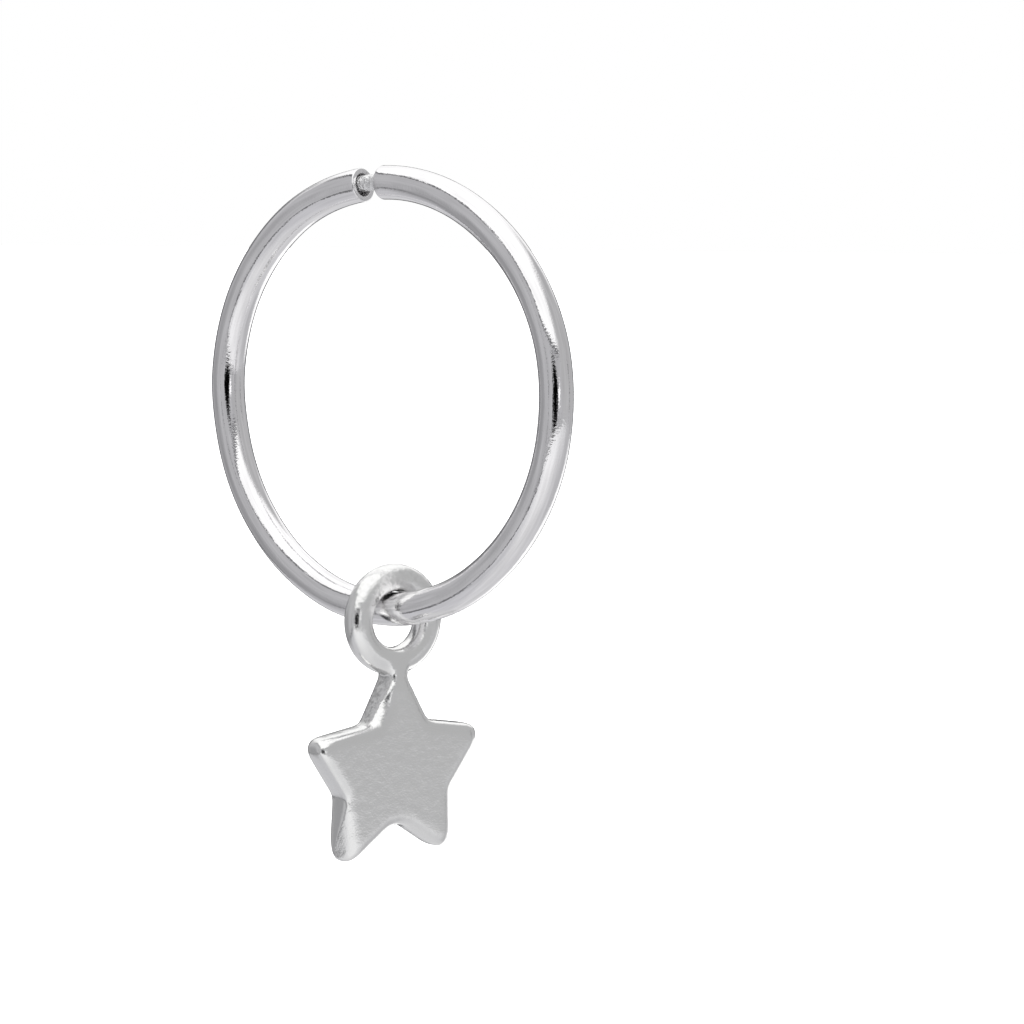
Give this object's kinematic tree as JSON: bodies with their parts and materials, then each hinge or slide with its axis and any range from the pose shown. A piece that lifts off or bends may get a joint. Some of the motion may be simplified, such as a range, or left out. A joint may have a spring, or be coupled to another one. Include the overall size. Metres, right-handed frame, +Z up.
{
  "type": "hoop charm earring",
  "caption": "Slim round hoop of silver tube, closed by a pin that slides into its open end, with a cast star charm that hangs from it by its own ring.",
  "frame": {"origin": "on the tube's centre line at the top of the hoop, where the earring hangs in the pierced ear", "axes": "+Z up; the hoop lies in the XZ plane with its open end towards -X; +X is the side the charm faces; +Y completes the frame"},
  "size_m": [0.016, 0.0066, 0.024],
  "materials": {
    "polished_silver": "high polish",
    "drawn_wire": "as drawn, dull and finely scored",
    "cast_silver": "cast, polished on faces and edges, fine grain on the side walls"
  },
  "bodies": {
    "hoop": {"hoop_tube": "polished_silver", "catch_pin": "drawn_wire"},
    "charm": {"star_charm": "cast_silver"}
  },
  "joints": [
    {"name": "charm_swing", "type": "hinge", "parent": "hoop", "child": "charm", "pos_m": [0.00018, 0, -0.01514], "axis": [0.9613, -0.2756, 0], "continuous": true}
  ]
}
